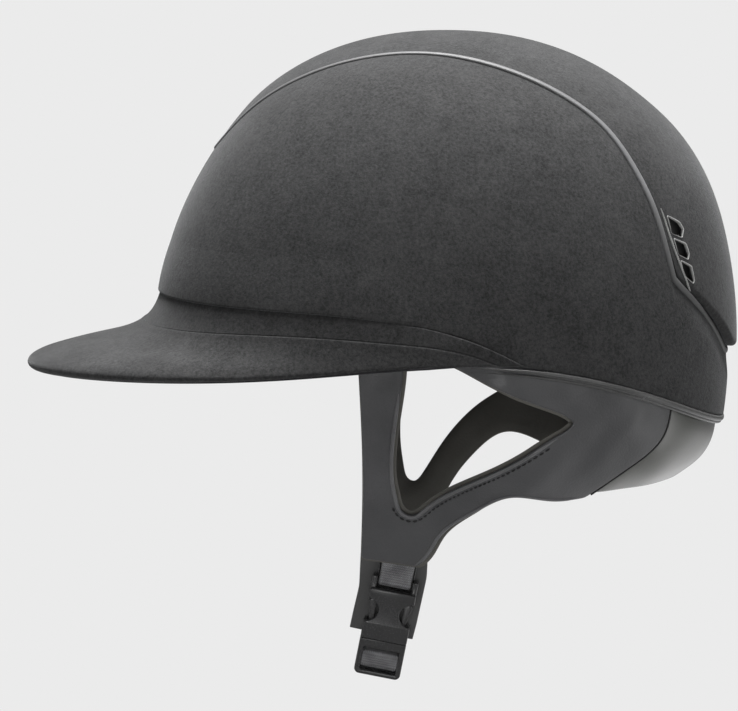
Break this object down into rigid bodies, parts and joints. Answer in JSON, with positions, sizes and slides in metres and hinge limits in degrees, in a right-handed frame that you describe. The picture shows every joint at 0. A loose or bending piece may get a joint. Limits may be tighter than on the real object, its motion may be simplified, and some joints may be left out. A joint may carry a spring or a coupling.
{
  "type": "equestrian riding helmet",
  "caption": "Suede-covered riding helmet with a wide visor, a raised crown panel with gill vents, a leather chin harness and a side-release buckle.",
  "frame": {"origin": "centre of the shell's widest level, in the middle plane, where the head sits", "axes": "+X to the brow, +Y to the wearer's left, +Z to the crown"},
  "size_m": [0.3341, 0.2134, 0.3053],
  "materials": {
    "suede": "brushed microfibre suede, charcoal",
    "suede_dark": "suede at the visor's rolled edge and underside",
    "piping": "satin rolled piping",
    "trim": "gloss rim piping",
    "leather": "smooth matt synthetic leather",
    "leather_gloss": "smooth glossy synthetic leather",
    "lining": "thin dark lining",
    "shell_plastic": "moulded shell",
    "foam": "moulded polystyrene foam, dark",
    "comfort": "knitted pad fabric",
    "buckle_plastic": "acetal, satin",
    "webbing": "woven polyester webbing",
    "rivet": "black painted steel",
    "vent_plastic": "satin moulded plastic"
  },
  "bodies": {
    "root": {"crown_panel": "suede", "shell_cover": "suede", "crown_piping": "piping", "outer_shell": "shell_plastic", "foam_liner": "foam", "visor_cover_top": "suede", "visor_band": "suede", "visor_core": "shell_plastic", "visor_cover_under": "suede_dark", "visor_edge_binding": "suede_dark", "rim_trim": "trim", "nape_gusset": "lining", "brow_pad": "comfort", "rear_pad": "comfort", "hook_dots": "lining", "buckle_socket": "buckle_plastic", "webbing_loop": "webbing", "buckle_guard": "leather", "chin_webbing": "webbing", "vent_frame_left": "vent_plastic", "vent_frame_right": "vent_plastic", "vent_mesh_left": "shell_plastic", "vent_mesh_right": "shell_plastic", "harness_left": "leather", "harness_right": "leather", "harness_lining_left": "lining", "harness_lining_right": "lining", "ear_binding_left": "leather", "ear_binding_right": "leather", "harness_rivet_left": "rivet", "harness_rivet_right": "rivet", "nape_pad_left": "leather_gloss", "nape_pad_right": "leather_gloss", "side_pad_left": "comfort", "side_pad_right": "comfort"},
    "tongue": {"buckle_tongue": "buckle_plastic", "ladder_webbing": "webbing"},
    "prong_front_body": {"prong_front": "buckle_plastic"},
    "prong_rear_body": {"prong_rear": "buckle_plastic"},
    "crown_pad_body": {"crown_pad": "comfort"}
  },
  "joints": [
    {"name": "tongue_pull", "type": "slide", "parent": "root", "child": "tongue", "axis": [0.1896, -0.1132, -0.9753], "range_m": [0, 0.022], "deforming": ["chin_webbing"]},
    {"name": "prong_front_squeeze", "type": "hinge", "parent": "tongue", "child": "prong_front_body", "pos_m": [0.03624, 0.02177, -0.1372], "axis": [0.0216, 0.9936, -0.1111], "range_deg": [-13.5, 0]},
    {"name": "prong_rear_squeeze", "type": "hinge", "parent": "tongue", "child": "prong_rear_body", "pos_m": [0.02132, 0.02177, -0.1401], "axis": [0.0216, 0.9936, -0.1111], "range_deg": [0, 13.5]},
    {"name": "crown_pad_pull", "type": "slide", "parent": "root", "child": "crown_pad_body", "axis": [0, 0, -1], "range_m": [0, 0.06]}
  ],
  "couplings": [
    {"joint": "prong_front_squeeze", "follows": "tongue_pull", "rad_per_m": -10},
    {"joint": "prong_rear_squeeze", "follows": "tongue_pull", "rad_per_m": 10}
  ]
}
